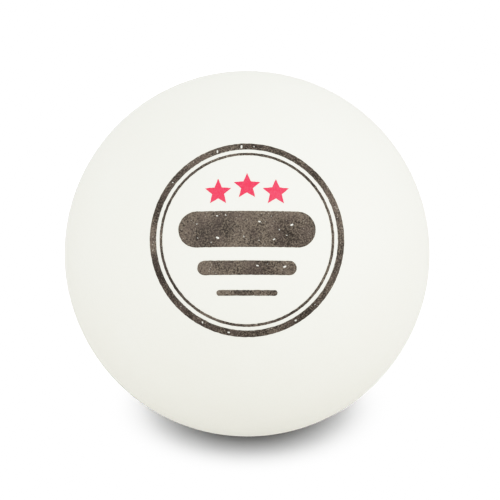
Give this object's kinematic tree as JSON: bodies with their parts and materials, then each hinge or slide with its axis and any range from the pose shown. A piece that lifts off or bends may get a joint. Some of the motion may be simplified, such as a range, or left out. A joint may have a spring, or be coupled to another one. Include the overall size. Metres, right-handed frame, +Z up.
{
  "type": "table tennis ball",
  "caption": "Hollow white plastic table tennis ball: moulded half shells welded at a lapped seam, with star grade marks inside a plain printed ring.",
  "frame": {"origin": "the ball's centre", "axes": "+Z up as the ball lies on a level surface; -Y is the side that the print faces, with the print's centre 31 degrees above level, on the seam axis; +X is to the right when looking at the print"},
  "size_m": [0.0402, 0.0403, 0.0402],
  "materials": {
    "shell_plastic": "matte",
    "weld_plastic": "satin",
    "dark_ink": "matte",
    "star_ink": "matte"
  },
  "bodies": {
    "root": {"front_half_shell": "shell_plastic", "rear_half_shell": "shell_plastic", "seam_weld": "weld_plastic", "print_ring_outer": "dark_ink", "print_ring_inner": "dark_ink", "print_bar_wide": "dark_ink", "print_bar_middle": "dark_ink", "print_bar_narrow": "dark_ink", "grade_star_left": "star_ink", "grade_star_middle": "star_ink", "grade_star_right": "star_ink"}
  },
  "joints": []
}
